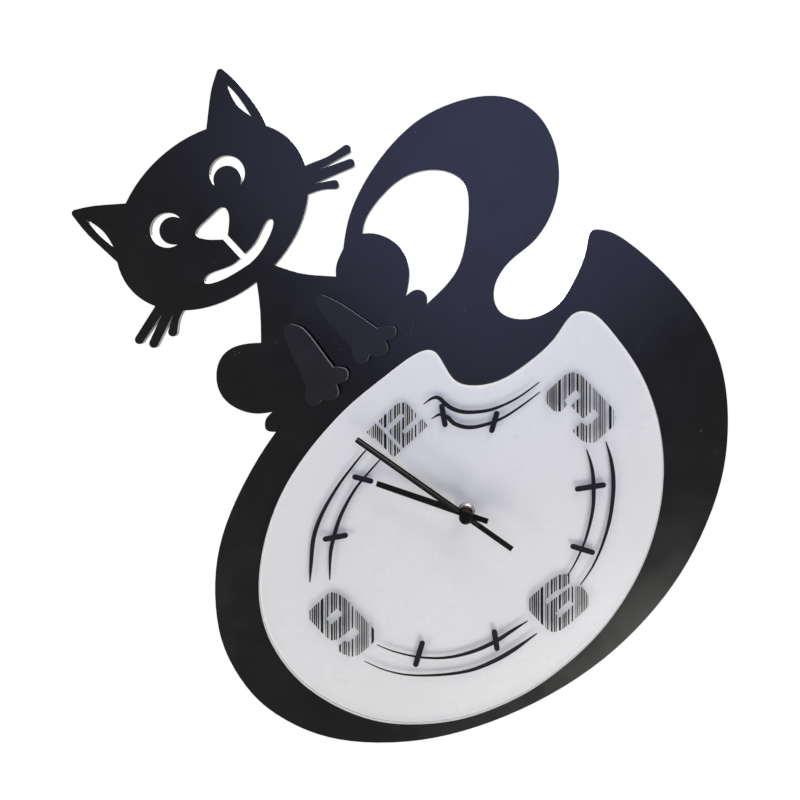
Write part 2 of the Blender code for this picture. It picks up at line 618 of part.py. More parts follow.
def make_case(axis):
    outer = rounded_box(CASE_LEFT, CASE_BOTTOM, CASE_RIGHT, CASE_TOP, 2.0)
    left, right = CASE_LEFT + CASE_WALL, CASE_RIGHT - CASE_WALL
    chamber = rounded_box(left, BAY_TOP + CASE_WALL, right, CASE_TOP - CASE_WALL, 1.0)
    bay = rounded_box(left, CASE_BOTTOM + CASE_WALL, right, BAY_TOP, 1.0)
    tube, bore = circle(TUBE_OUTER_R), circle(TUBE_INNER_R, sides=24)
    stud = circle(STUD_R, *MINUTE_WHEEL_AT, sides=12)
    cups, cup_bores = [], []
    for at in (THIRD_AT, SECONDS_AT, INTERMEDIATE_AT, ROTOR_AT):
        cups.append(circle(PIVOT_R + 0.7, *at, sides=12))
        cup_bores.append(circle(PIVOT_R, *at, sides=12))
    depths = [CASE_REAR, 12.7, CASE_INSIDE - 1.4, CASE_INSIDE, CASE_FRONT, TUBE_FRONT]
    walls = [outer, chamber, bay]
    levels = [walls, [*walls, stud], [*walls, stud, *cups, *cup_bores], [outer, bore], [tube, bore]]
    place(layered_mesh("front_case", depths, levels), axis, BLACK_PLASTIC)

    fit = CASE_WALL + GAP
    lid = rounded_box(CASE_LEFT + fit, BAY_TOP + CASE_WALL + GAP, CASE_RIGHT - fit, CASE_TOP - fit, 0.8)
    spots = [CENTRE_AT, THIRD_AT, SECONDS_AT, INTERMEDIATE_AT, ROTOR_AT]
    holes = [circle(SHAFT_R + 0.15 if at is CENTRE_AT else PIVOT_R, *at, sides=12) for at in spots]
    setting_hole = circle(1.5, *SETTING_AT, sides=16)
    place(layered_mesh("rear_cover", [COVER_REAR, COVER_INSIDE], [[lid, *holes, setting_hole]]),
          axis, BLACK_PLASTIC)


def make_motion_work(axis):
    """The wheels that turn the hour hand once for twelve turns of the minute hand."""
    back_way = MINUTE_WHEEL_ANGLE + 180
    cannon = gear(CANNON_TEETH, MODULE, MINUTE_WHEEL_ANGLE)
    shaft, seat = circle(SHAFT_R, sides=16), circle(1.4, sides=16)
    place(layered_mesh("minute_shaft", [4.9, 12.6, 12.9, 14.3, SHAFT_END],
                       [[shaft], [seat], [cannon], [shaft]]), axis, STEEL)
    wheel = gear(MINUTE_WHEEL_TEETH, MODULE, gap_phase(MINUTE_WHEEL_TEETH, back_way))
    pinion = gear(MINUTE_PINION_TEETH, HOUR_MODULE, back_way)
    stud_hole = circle(STUD_R + 0.1, sides=12)
    place(layered_mesh("minute_wheel", [13.0, 14.2, 16.6], [[wheel, stud_hole], [pinion, stud_hole]]),
          axis, WHITE_PLASTIC, MINUTE_WHEEL_AT)
    hour = gear(HOUR_WHEEL_TEETH, HOUR_MODULE, gap_phase(HOUR_WHEEL_TEETH, MINUTE_WHEEL_ANGLE))
    pipe, pipe_bore = circle(PIPE_OUTER_R, sides=24), circle(PIPE_INNER_R, sides=24)
    place(layered_mesh("hour_wheel", [15.2, 16.4, PIPE_END], [[hour, pipe_bore], [pipe, pipe_bore]]),
          axis, WHITE_PLASTIC)
    # An even number of teeth gives the minute wheel a gap on this side as well
    setting = gear(SETTING_TEETH, MODULE, back_way)
    stem = circle(1.2, sides=16)
    place(layered_mesh("setting_arbor", [1.9, 12.8, 14.4], [[stem], [setting]]), axis, WHITE_PLASTIC,
          SETTING_AT)
    grip = gear(16, 0.55, 0)
    hub_hole = circle(1.2 + GAP, sides=16)
    slab("setting_knob", axis, BLACK_PLASTIC, 1.6, 2.6, [grip, hub_hole], SETTING_AT)


def wheel_on_arbor(name, axis, look, at, depths, wheel, pinion, wheel_first=False):
    """An arbor with a wheel and a pinion on it: depths are arbor, wheel, pinion, arbor ends."""
    arbor = circle(ARBOR_R, sides=10)
    middle = [[wheel], [arbor], [pinion]] if wheel_first else [[pinion], [arbor], [wheel]]
    place(layered_mesh(name, depths, [[arbor], *middle, [arbor]]), axis, look, at)


def make_train(axis):
    """The wheels from the motor to the centre wheel, which drags the minute shaft by friction."""
    clutch_hole = circle(SHAFT_R + 0.1, sides=16)
    centre = gear(CENTRE_TEETH, MODULE, gap_phase(CENTRE_TEETH, THIRD_ANGLE))
    slab("centre_wheel", axis, WHITE_PLASTIC, 11.6, 0.7, [centre, clutch_hole])
    wheel_on_arbor("third_wheel", axis, WHITE_PLASTIC, THIRD_AT, [5.0, 9.9, 10.6, 11.4, 12.6, 16.6],
                   gear(THIRD_TEETH, MODULE, gap_phase(THIRD_TEETH, SECONDS_ANGLE)),
                   gear(THIRD_PINION_TEETH, MODULE, THIRD_ANGLE + 180), wheel_first=True)
    wheel_on_arbor("seconds_wheel", axis, WHITE_PLASTIC, SECONDS_AT, [5.0, 8.2, 8.9, 9.6, 10.9, 16.6],
                   gear(SECONDS_TEETH, MODULE, gap_phase(SECONDS_TEETH, INTERMEDIATE_ANGLE)),
                   gear(SECONDS_PINION_TEETH, MODULE, SECONDS_ANGLE + 180), wheel_first=True)
    wheel_on_arbor("intermediate_wheel", axis, WHITE_PLASTIC, INTERMEDIATE_AT,
                   [5.0, 6.8, 7.4, 8.0, 9.1, 16.6],
                   gear(INTERMEDIATE_TEETH, ROTOR_MODULE, gap_phase(INTERMEDIATE_TEETH, ROTOR_ANGLE)),
                   gear(INTERMEDIATE_PINION_TEETH, MODULE, INTERMEDIATE_ANGLE + 180), wheel_first=True)
    wheel_on_arbor("rotor", axis, BLACK_PLASTIC, ROTOR_AT, [5.0, 6.6, 7.6, 8.8, 10.4, 16.6],
                   circle(2.5, sides=24), gear(ROTOR_TEETH, ROTOR_MODULE, ROTOR_ANGLE + 180))


def make_motor(axis):
    """Coil and stator of the stepping motor, the circuit board, its crystal and its chip."""
    left, right = -25.0, -3.2
    rotor_x, rotor_z = ROTOR_AT
    strip_low, strip_high, tab_top = rotor_z - 3.6, rotor_z + 3.1, 24.0
    strip = [(left, strip_low), (right, strip_low), (right, tab_top), (right - 3.2, tab_top),
             (right - 3.2, strip_high), (left + 2.8, strip_high), (left + 2.8, tab_top), (left, tab_top)]
    slab("stator", axis, STEEL, 9.4, 0.8, [strip, circle(2.9, rotor_x, rotor_z, sides=24)])
    coil_z, coil_depth, flange_r, wire_r = 22.4, 10.5, 3.2, 2.8
    start, end = left + 3.2, right - 3.5
    profile = [(0, left + 0.4), (0.6, left + 0.4), (0.6, start), (flange_r, start), (flange_r, start + 0.8),
               (wire_r, start + 0.8), (wire_r, end - 0.8), (flange_r, end - 0.8), (flange_r, end),
               (0.6, end), (0.6, right - 0.4), (0, right - 0.4)]
    place(turned_mesh("coil", profile, 20, along_x=True), axis, COPPER, (0, coil_z), coil_depth + 0.7)
    slab("circuit_board", axis, GREEN_BOARD, 12.0, 1.0, [rounded_box(18.8, -9.0, 26.0, 24.0, 0.5)])
    can = [(0, 3.0), (0.9, 3.0), (1.0, 2.9), (1.0, -2.9), (0.9, -3.0), (0, -3.0)]
    place(turned_mesh("quartz_crystal", can, 16, along_x=True), axis, STEEL, (22.4, 16.0), 10.6)
    chip = [(0, 11.7), (2.4, 11.7), (2.1, 11.0), (1.2, 10.6), (0, 10.5)]
    place(turned_mesh("control_chip", chip, 20), axis, BLACK_PLASTIC, (22.4, 4.0))


def make_battery(axis):
    body = [(0, -25.6), (2.6, -25.6), (2.6, -24.5), (6.6, -24.5), (BATTERY_R, -24.1), (BATTERY_R, 24.0),
            (6.6, 24.4), (0, 24.4)]
    place(turned_mesh("battery", body, 32, along_x=True), axis, BATTERY_WRAP, (0, BATTERY_Z), BATTERY_DEPTH)
    inside = CASE_RIGHT - CASE_WALL
    for name, side in (("battery_contact_positive", -1), ("battery_contact_negative", 1)):
        far, near = side * (inside - GAP), side * (inside - GAP - 0.3)
        low, high = min(far, near), max(far, near)
        contact = box(low, BATTERY_Z - 5, high, BATTERY_Z + 5)
        slab(name, axis, STEEL, BATTERY_DEPTH - 4.5, 9.0, [contact])


# ---------------------------------------------------------------- the back

def make_hanger(face):
    """A block on the back of the plate, and a keyhole plate that hooks over a nail."""
    half_wide, high, low = 27.0, 12.0, -14.0
    block_back = 3.2
    edge = rounded_box(-half_wide, low, half_wide, high, 2.0)
    pocket = rounded_box(-7.0, -10.0, 7.0, 6.0, 2.0)
    screw_at = ((-19.0, 0.0), (19.0, 0.0))
    screw_holes = [circle(1.3, x, z, sides=12) for x, z in screw_at]
    place(layered_mesh("hanger_block", [block_back, 10.0, 12.0, PLATE_BACK - GAP],
                       [[edge, pocket, *screw_holes], [edge, pocket], [edge]]),
          face, BLACK_ACRYLIC, (HANGER_X, HANGER_Z))
    # The slot's round upper end fits the nail, and its wide lower end lets the head through
    slot_r, head_r, drop = 2.0, 4.2, 6.0
    reach = math.degrees(math.asin(slot_r / head_r))
    keyhole = arc(0, 0, slot_r, 0, 180) + arc(0, -drop, head_r, 90 + reach, 450 - reach)
    plate_back = block_back - GAP - 1.2
    strap = rounded_box(-25.0, -12.0, 25.0, 8.0, 3.0)
    strap_holes = [circle(1.3, x, z, sides=12) for x, z in screw_at]
    slab("hanger_plate", face, STEEL, plate_back, 1.2, [strap, keyhole, *strap_holes], (HANGER_X, HANGER_Z))
    screw = [(0, 9.4), (0.9, 9.4), (1.0, 9.0), (1.0, plate_back - GAP), (2.6, plate_back - GAP),
             (2.4, 0.7), (1.4, 0.4), (0, 0.4)]
    for name, (x, z) in zip(("hanger_screw_left", "hanger_screw_right"), screw_at):
        place(turned_mesh(name, screw, 16), face, STEEL, (HANGER_X + x, HANGER_Z + z))


def make_standoffs(face):
    for name, at in STANDOFFS.items():
        slab(f"standoff_{name}", face, BLACK_ACRYLIC, PAD_THICK + GAP, PLATE_BACK - PAD_THICK - 2 * GAP,
             [circle(STANDOFF_R, sides=24)], at)
        slab(f"wall_pad_{name}", face, RUBBER, 0.0, PAD_THICK, [circle(PAD_R, sides=24)], at)


def empty(name, parent, at):
    obj = bpy.data.objects.new(name, None)
    bpy.context.scene.collection.objects.link(obj)
    obj.parent = parent
    obj.location = (at[0] * MM, 0, at[1] * MM)
    return obj


def main():
    for obj in list(bpy.data.objects):
        bpy.data.objects.remove(obj)
    face = empty("dial_middle", None, (-HANGER_X, -HANGER_Z))
    axis = empty("hands_axis", face, (AXIS_X, AXIS_Z))
    make_face(face)
    make_hands(axis)
    make_clamp(axis)
    make_case(axis)
    make_motion_work(axis)
    make_train(axis)
    make_motor(axis)
    make_battery(axis)
    make_hanger(face)
    make_standoffs(face)


main()
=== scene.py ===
"""Looks for the cat wall clock: dial print, materials, light and camera, around the CAD frame.

Print positions are in millimetres from the middle of the dial, x to the right and z up, as the
clock hangs. Everything else is in metres in the CAD frame, with the wall at y = 0.
"""
import json
import math
import random

import bmesh
import bpy
from mathutils import Matrix, Vector


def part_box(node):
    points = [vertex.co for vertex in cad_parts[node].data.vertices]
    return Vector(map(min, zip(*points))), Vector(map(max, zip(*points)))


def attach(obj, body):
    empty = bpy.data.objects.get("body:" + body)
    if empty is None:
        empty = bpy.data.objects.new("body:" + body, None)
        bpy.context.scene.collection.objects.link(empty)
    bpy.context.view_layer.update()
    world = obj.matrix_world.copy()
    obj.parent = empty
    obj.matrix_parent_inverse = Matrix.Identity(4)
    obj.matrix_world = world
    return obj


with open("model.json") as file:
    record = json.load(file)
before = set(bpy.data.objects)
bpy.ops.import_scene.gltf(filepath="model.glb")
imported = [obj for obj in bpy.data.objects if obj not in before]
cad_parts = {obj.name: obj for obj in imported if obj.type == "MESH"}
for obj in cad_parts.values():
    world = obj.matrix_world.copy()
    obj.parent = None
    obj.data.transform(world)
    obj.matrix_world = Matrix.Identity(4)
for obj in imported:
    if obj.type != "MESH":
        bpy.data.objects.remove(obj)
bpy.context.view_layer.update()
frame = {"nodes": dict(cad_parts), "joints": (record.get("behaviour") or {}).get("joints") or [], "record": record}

MM = 0.001
NODES = frame["nodes"]
JOINTS = {joint["name"]: joint for joint in frame["joints"]}
HANDS_AXIS = Vector(JOINTS["minute_hand_turn"]["pos_m"])
AXIS_FROM_MIDDLE = Vector((-0.93, 0.0, -0.4)) * MM
DIAL_MIDDLE = HANDS_AXIS - AXIS_FROM_MIDDLE
COVER_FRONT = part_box("dial_cover")[0].y
PLATE_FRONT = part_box("body_plate")[0].y
INK_GAP = 0.02 * MM
INK_THICK = 0.05 * MM
RIB_HIGH = 0.35 * MM                    # of the CAD hand's own rib, which the flanks lean on

HEAD_ON_MIRROR = 0.04                   # how much clear sheet mirrors when seen head on
PAINTED_WALL_GLOW = 0.35                        # painted glow that the clear sheet's cut walls give off, standing in for the white backing mirrored in them
WALL_THROUGH = 0.5                      # how much those walls let past

AMBIENT = 0.24
FLOOR_HALF = 1.2
FLOOR_PLACE = (0.0, -0.3, -1.6)

LEAN = math.radians(43)                 # how far the camera is turned about its own line of sight
LENS_MM, SENSOR_MM = 27.27, 36.0
LENS_SHIFT = (-0.10, -0.13)
EYE_RIGHT, EYE_UP = 101 * MM, 95.7 * MM    # the camera from the dial's middle
EYE_AWAY = 0.4                          # and from the plate's front


# ---------------------------------------------------------------- node helpers

def socket_name(key):
    """A node socket's name from a keyword: base_color is Base Color."""
    return key.replace("_", " ").title().replace("Ior", "IOR")


class Shader:
    """A Principled material under construction, with short calls for the nodes it needs."""

    def __init__(self, name, **sockets):
        self.material = bpy.data.materials.new(name)
        self.material.use_nodes = True
        self.tree = self.material.node_tree
        self.principled = self.tree.nodes["Principled BSDF"]
        self.coordinates = self.tree.nodes.new("ShaderNodeTexCoord").outputs["Object"]
        for socket, value in sockets.items():
            self.set(socket_name(socket), value)

    def set(self, socket, value):
        target = self.principled.inputs[socket]
        if isinstance(value, bpy.types.NodeSocket):
            self.tree.links.new(value, target)
        elif isinstance(value, tuple):
            target.default_value = (*value, 1.0)
        else:
            target.default_value = value

    def node(self, kind, output=0, settings=None, **inputs):
        made = self.tree.nodes.new("ShaderNode" + kind)
        for key, value in (settings or {}).items():
            setattr(made, key, value)
        for key, value in inputs.items():
            socket = made.inputs[int(key[1:])] if key[0] == "i" and key[1:].isdigit() \
                else made.inputs[socket_name(key)]
            if isinstance(value, bpy.types.NodeSocket):
                self.tree.links.new(value, socket)
            else:
                socket.default_value = value
        return made.outputs[output]

    def moved(self, location=(0, 0, 0), scale=(1, 1, 1), rotation=(0, 0, 0)):
        """Object coordinates, moved to a new origin and stretched."""
        centred = self.node("Mapping", location=tuple(-c for c in location),
                            vector=self.coordinates)
        return self.node("Mapping", scale=scale, rotation=rotation, vector=centred)

    def noise(self, scale, detail=4.0, roughness=0.6, vector=None):
        return self.node("TexNoise", scale=scale, detail=detail, roughness=roughness,
                         vector=vector or self.coordinates)

    def wave(self, scale, vector, kind="BANDS", direction="X", distortion=0.0):
        settings = {"wave_type": kind, "bands_direction": direction, "rings_direction": direction}
        return self.node("TexWave", 1, settings, scale=scale, distortion=distortion, vector=vector)

    def ramp(self, value, *stops, constant=False):
        made = self.tree.nodes.new("ShaderNodeValToRGB")
        made.color_ramp.interpolation = "CONSTANT" if constant else "LINEAR"
        for place, _ in stops[2:]:
            made.color_ramp.elements.new(place)
        for element, (place, colour) in zip(made.color_ramp.elements, stops):
            element.position = place
            element.color = (*colour, 1.0)
        self.tree.links.new(value, made.inputs[0])
        return made.outputs[0]

    def span(self, value, low, high, start=0.3, end=0.7):
        return self.node("MapRange", i0=value, i1=start, i2=end, i3=low, i4=high)

    def maths(self, operation, *values):
        inputs = {f"i{i}": value for i, value in enumerate(values)}
        return self.node("Math", 0, {"operation": operation}, **inputs)

    def mix(self, share, one, two):
        """One where share is 0 and two where it is 1, for colours."""
        made = self.tree.nodes.new("ShaderNodeMix")
        made.data_type = "RGBA"
        sockets = (made.inputs[0], made.inputs[6], made.inputs[7])
        for socket, value in zip(sockets, (share, one, two)):
            if isinstance(value, bpy.types.NodeSocket):
                self.tree.links.new(value, socket)
            else:
                socket.default_value = (*value, 1.0)
        return made.outputs[2]

    def bump(self, height, strength, distance):
        self.set("Normal", self.node("Bump", strength=strength, distance=distance, height=height))

    def part(self, axis):
        """One of the object coordinates, in metres."""
        return self.node("SeparateXYZ", "XYZ".index(axis), vector=self.coordinates)

    def cut_edge(self):
        """1 on the walls that a cutter leaves, which face away from y, and 0 on the faces."""
        normal = self.tree.nodes.new("ShaderNodeNewGeometry").outputs["Normal"]
        facing = self.maths("ABSOLUTE", self.node("SeparateXYZ", 1, vector=normal))
        return self.maths("LESS_THAN", facing, 0.5)


def grey(level, blue=1.0):
    return (level, level, level * blue)


# ---------------------------------------------------------------- materials

def black_acrylic(name, edge_level, face_roughness):
    """Satin black sheet: faint polish marks, dust specks, and cut walls with fine laser ridges."""
    shader = Shader(name, specular_ior_level=0.5)
    cloud = shader.noise(14.0, 3.0)
    face = shader.ramp(cloud, (0.35, grey(0.002, 1.15)), (0.65, grey(0.0028, 1.2)))
    speck = shader.node("TexVoronoi", 0, scale=420.0, vector=shader.coordinates)
    rare = shader.maths("GREATER_THAN", shader.noise(90.0, 1.0), 0.69)
    dust = shader.maths("MULTIPLY", rare, shader.maths("LESS_THAN", speck, 0.16))
    face = shader.mix(dust, face, grey(0.06))
    ridges = shader.noise(1.0, 2.0, vector=shader.moved(scale=(2600, 60, 2600)))
    # Pale cut walls: the laminate's own edge colour, set higher on the plate than on the legs as painted light
    edge = shader.ramp(ridges, (0.3, grey(edge_level * 0.75)), (0.7, grey(edge_level)))
    is_edge = shader.cut_edge()
    shader.set("Base Color", shader.mix(is_edge, face, edge))
    polish = shader.span(shader.noise(45.0, 5.0), face_roughness - 0.04, face_roughness + 0.05)
    shader.set("Roughness", shader.mix(is_edge, polish, grey(0.22)))
    shader.bump(shader.noise(700.0, 2.0), 0.04, 0.0002)
    return shader.material


def white_acrylic():
    shader = Shader("dial_white", specular_ior_level=0.4)
    dark, light = (0.75, 0.75, 0.74), (0.77, 0.77, 0.76)
    shader.set("Base Color", shader.ramp(shader.noise(9.0, 2.0), (0.3, dark), (0.7, light)))
    shader.set("Roughness", shader.span(shader.noise(60.0), 0.38, 0.46))
    return shader.material


def clear_acrylic():
    """Clear sheet: see-through faces with a gloss, and pale cut walls with a frost finish that glow with painted
    light.
    """
    shader = Shader("dial_clear")
    smear = shader.span(shader.noise(22.0, 4.0), 0.22, 0.3)
    gloss = shader.node("BsdfGlossy", roughness=smear, color=(0.94, 0.94, 1.0, 1.0))
    through = shader.node("BsdfTransparent", color=(0.985, 0.985, 0.985, 1.0))
    grazing = shader.maths("POWER", shader.node("LayerWeight", 1, blend=0.5), 5.0)
    mirrored = shader.maths("MULTIPLY_ADD", grazing, 1.0 - HEAD_ON_MIRROR, HEAD_ON_MIRROR)
    face = shader.node("MixShader", i0=mirrored, i1=through, i2=gloss)
    frost = shader.noise(1.0, 2.0, vector=shader.moved(scale=(1900, 90, 1900)))
    shader.set("Base Color", shader.ramp(frost, (0.3, grey(0.8)), (0.7, grey(0.92))))
    shader.set("Roughness", shader.span(frost, 0.25, 0.4))
    # Painted glow: the cut walls give off light of their own, standing in for the white backing mirrored inside
    # the sheet
    shader.set("Emission Color", (1.0, 1.0, 1.0))
    shader.set("Emission Strength", PAINTED_WALL_GLOW)
    frosted_and_glowing = shader.principled.outputs[0]
    cut_wall = shader.node("MixShader", i0=WALL_THROUGH, i1=frosted_and_glowing, i2=through)
    mixed = shader.node("MixShader", i0=shader.cut_edge(), i1=face, i2=cut_wall)
    output = shader.tree.nodes["Material Output"]
    shader.tree.links.new(mixed, output.inputs["Surface"])
    return shader.material


def black_paint(name, roughness=0.5, level=0.003, specular=0.1):
    shader = Shader(name, specular_ior_level=specular)
    dark, light = grey(level * 0.7), (level * 1.3, level * 1.3, level)
    shader.set("Base Color", shader.ramp(shader.noise(300.0), (0.3, dark), (0.7, light)))
    shader.set("Roughness", shader.span(shader.noise(900.0), roughness - 0.06, roughness + 0.08))
    shader.bump(shader.noise(2500.0, 2.0), 0.12, 0.00003)
    return shader.material


def ink():
    shader = Shader("print_ink", specular_ior_level=0.1)
    dark, light = grey(0.007, 1.5), grey(0.01, 1.5)
    shader.set("Base Color", shader.ramp(shader.noise(800.0), (0.3, dark), (0.7, light)))
    shader.set("Roughness", shader.span(shader.noise(1500.0), 0.5, 0.65))
    return shader.material


def turned_metal(name, light, dark, centre):
    """Bright metal with the fine rings that a lathe leaves round an axis along y."""
    shader = Shader(name, metallic=1.0)
    pitch, roughness = 0.00022, 0.28
    rings = shader.wave(1.0 / pitch / 20.0, shader.moved(centre), "RINGS", "Y")
    cloud = shader.noise(700.0)
    shader.set("Base Color", shader.ramp(cloud, (0.3, dark), (0.7, light)))
    shader.set("Roughness", shader.span(rings, roughness - 0.07, roughness + 0.08, 0.0, 1.0))
    shader.bump(rings, 0.15, 0.00002)
    return shader.material


def plated_steel(name, light, dark, roughness):
    """Stamped strip: plating with a faint spangle and rolling marks along x."""
    shader = Shader(name, metallic=1.0)
    spangle = shader.node("TexVoronoi", 0, scale=900.0, vector=shader.coordinates)
    shader.set("Base Color", shader.ramp(spangle, (0.1, light), (0.75, dark)))
    marks = shader.noise(1.0, 3.0, vector=shader.moved(scale=(120, 4000, 4000)))
    shader.set("Roughness", shader.span(marks, roughness - 0.06, roughness + 0.1))
    shader.bump(marks, 0.1, 0.00003)
    return shader.material


def moulded(name, dark, light, roughness, grain=1800.0, depth=0.00004):
    """Injection-moulded plastic with a spark-eroded grain."""
    shader = Shader(name, specular_ior_level=0.45)
    shader.set("Base Color", shader.ramp(shader.noise(120.0), (0.3, dark), (0.7, light)))
    fine = shader.noise(grain, 2.0)
    shader.set("Roughness", shader.span(fine, roughness - 0.08, roughness + 0.1))
    shader.bump(fine, 0.35, depth)
    return shader.material


def rubber():
    shader = Shader("rubber", specular_ior_level=0.25)
    dark, light = grey(0.012), grey(0.03)
    shader.set("Base Color", shader.ramp(shader.noise(400.0), (0.3, dark), (0.7, light)))
    shader.set("Roughness", shader.span(shader.noise(1200.0), 0.75, 0.95))
    shader.bump(shader.noise(2200.0), 0.4, 0.00006)
    return shader.material


def coil_wire():
    shader = Shader("coil_wire", metallic=0.8)
    turns = shader.wave(310.0, shader.moved(), "BANDS", "X")
    # Colour follows the turns: darker copper in the grooves between them is painted shade, lighter copper on their
    # crowns is painted highlight
    dark, light = (0.28, 0.07, 0.02), (0.72, 0.3, 0.12)
    shader.set("Base Color", shader.ramp(turns, (0.1, dark), (0.6, light)))
    shader.set("Roughness", shader.span(turns, 0.42, 0.25, 0.0, 1.0))
    shader.bump(turns, 0.6, 0.00006)
    return shader.material


def circuit_board():
    shader = Shader("circuit_board", specular_ior_level=0.5)
    across = shader.wave(55.0, shader.moved(), "BANDS", "X", 3.0)
    tracks = shader.maths("GREATER_THAN", across, 0.72)
    weave = shader.noise(900.0, 2.0)
    mask = shader.ramp(weave, (0.3, (0.01, 0.085, 0.035)), (0.7, (0.015, 0.11, 0.045)))
    shader.set("Base Color", shader.mix(tracks, mask, (0.05, 0.22, 0.07)))
    shader.set("Roughness", shader.span(weave, 0.3, 0.4))
    shader.bump(tracks, 0.3, 0.00003)
    return shader.material


def battery_wrap():
    """Plain two-colour wrapper, with bare steel at both ends of the cell."""
    shader = Shader("battery_wrap", specular_ior_level=0.5)
    low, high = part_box("battery")
    along = shader.node("MapRange", i0=shader.part("X"), i1=low.x, i2=high.x, i3=0.0, i4=1.0)
    steel, dark, light = grey(0.6), (0.012, 0.03, 0.1), (0.55, 0.38, 0.09)
    scuff = shader.noise(500.0, 3.0)
    cap, band, button = 0.045, 0.27, 0.975
    colours = shader.ramp(along, (0.0, steel), (cap, light), (band, dark), (button, steel),
                          constant=True)
    shader.set("Base Color", shader.mix(shader.span(scuff, 0.0, 0.12), colours, grey(0.3)))
    metal = shader.ramp(along, (0.0, grey(1.0)), (cap, grey(0.25)), (button, grey(1.0)),
                        constant=True)
    shader.set("Metallic", metal)
    shader.set("Roughness", shader.span(scuff, 0.24, 0.36))
    return shader.material


def floor_material():
    shader = Shader("studio_floor")
    shader.set("Base Color", shader.ramp(shader.noise(3.0), (0.3, grey(0.74)), (0.7, grey(0.78))))
    shader.set("Roughness", shader.span(shader.noise(8.0), 0.6, 0.8))
    return shader.material


INK = ink()
# The rib's paint is the hands' black made twice as light and glossier: a painted highlight along the rib, on top
# of the light its flanks catch
RIB_HIGHLIGHT_PAINT = black_paint("rib_highlight_paint", 0.32, 0.006, 0.3)


# ---------------------------------------------------------------- shapes

def add_object(name, bm, material):
    mesh = bpy.data.meshes.new(name)
    bm.to_mesh(mesh)
    bm.free()
    mesh.materials.append(material)
    obj = bpy.data.objects.new(name, mesh)
    bpy.context.scene.collection.objects.link(obj)
    return obj


# ---------------------------------------------------------------- print on the dial

CORNER_SHARE = 0.45                     # the most of a side that one rounded corner takes

def through(points, per_step=8):
    """A smooth open curve through the points (Catmull-Rom)."""
    ends = [points[0], *points, points[-1]]
    curve = []
    for a, b, c, d in zip(ends, ends[1:], ends[2:], ends[3:]):
        for i in range(per_step):
            t = i / per_step
            curve.append(tuple(
                0.5 * (2 * q + (r - p) * t + (2 * p - 5 * q + 4 * r - s) * t * t
                       + (3 * q - p - 3 * r + s) * t ** 3)
                for p, q, r, s in zip(a, b, c, d)))
    return [*curve, points[-1]]


def rounded(corners, radius=1.0, steps=3):
    """A closed outline with each corner cut back by up to radius and rounded."""
    outline = []
    befores, afters = corners[-1:] + corners[:-1], corners[1:] + corners[:1]
    for before, corner, after in zip(befores, corners, afters):
        at, back, on = Vector(corner), Vector(before), Vector(after)
        start = at + (back - at).normalized() * min(radius, (back - at).length * CORNER_SHARE)
        end = at + (on - at).normalized() * min(radius, (on - at).length * CORNER_SHARE)
        for i in range(steps + 1):
            t = i / steps
            outline.append(tuple(start * (1 - t) ** 2 + at * (2 * t * (1 - t)) + end * t * t))
    return outline


def flat(outlines):
    """A bmesh of triangles, in millimetres at y = 0, inside an odd number of the outlines."""
    bm = bmesh.new()
    edges = []
    for outline in outlines:
        verts = [bm.verts.new((x, 0.0, z)) for x, z in outline]
        edges += [bm.edges.new(pair) for pair in zip(verts, verts[1:] + verts[:1])]
    bmesh.ops.triangle_fill(bm, edges=edges, use_beauty=True)
    return bm


def printed(name, bm, under=0.0):
    """Turn a flat bmesh into a thin layer of ink on the dial's cover, lifted off it by under."""
    bmesh.ops.remove_doubles(bm, verts=bm.verts, dist=1e-5)
    grown = bmesh.ops.extrude_face_region(bm, geom=bm.faces[:], use_keep_orig=True)
    lifted = [item for item in grown["geom"] if isinstance(item, bmesh.types.BMVert)]
    bmesh.ops.translate(bm, verts=lifted, vec=(0, -INK_THICK / MM, 0))
    bmesh.ops.recalc_face_normals(bm, faces=bm.faces)
    place = Vector((DIAL_MIDDLE.x, COVER_FRONT - INK_GAP - under, DIAL_MIDDLE.z))
    bm.transform(Matrix.Translation(place) @ Matrix.Scale(MM, 4))
    obj = add_object(name, bm, INK)
    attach(obj, "case")


BAR_SLOPE = math.radians(47)
ACROSS_BARS = Vector((-math.sin(BAR_SLOPE), 0.0, math.cos(BAR_SLOPE)))
WIDE_BARS = [(0.0, 1.7), (-6.4, 1.2), (-11.7, 1.3), (-19.8, 0.9), (-33.0, 1.7)]
THIN_BARS = (0.35, 0.45, 0.6, 0.8, 0.9)
THIN_GAPS = (0.4, 0.5, 0.65, 0.9)
WIDE_BAR_GAP = 0.35
BARS_FROM, BARS_TO = 13.5, -41.0


def bar_code():
    """Bars as (place, width) across the slope, measured from the widest: the five wide ones, and
    thinner ones of uneven widths in between."""
    draw = random.Random(12)
    bars = list(WIDE_BARS)
    place = BARS_FROM
    while place > BARS_TO:
        width = draw.choice(THIN_BARS)
        middle = place - width / 2
        if all(abs(middle - other) > (width + size) / 2 + WIDE_BAR_GAP
               for other, size in WIDE_BARS):
            bars.append((middle, width))
        place -= width + draw.choice(THIN_GAPS)
    return bars


def striped(name, widest_at, *outlines):
    """A numeral made of sloping bars, with its widest bar widest_at across the slope."""
    whole = flat(outlines)
    pieces = bmesh.new()
    scratch = bpy.data.meshes.new("scratch")
    for place, width in bar_code():
        strip = whole.copy()
        for side in (-1, 1):
            if not strip.faces:
                break
            side_at = widest_at + place + side * width / 2
            bmesh.ops.bisect_plane(strip, geom=strip.verts[:] + strip.edges[:] + strip.faces[:],
                                   plane_co=ACROSS_BARS * side_at,
                                   plane_no=ACROSS_BARS * side, clear_outer=True)
        if strip.faces:
            strip.to_mesh(scratch)
            pieces.from_mesh(scratch)
        strip.free()
    whole.free()
    bpy.data.meshes.remove(scratch)
    printed(name, pieces)


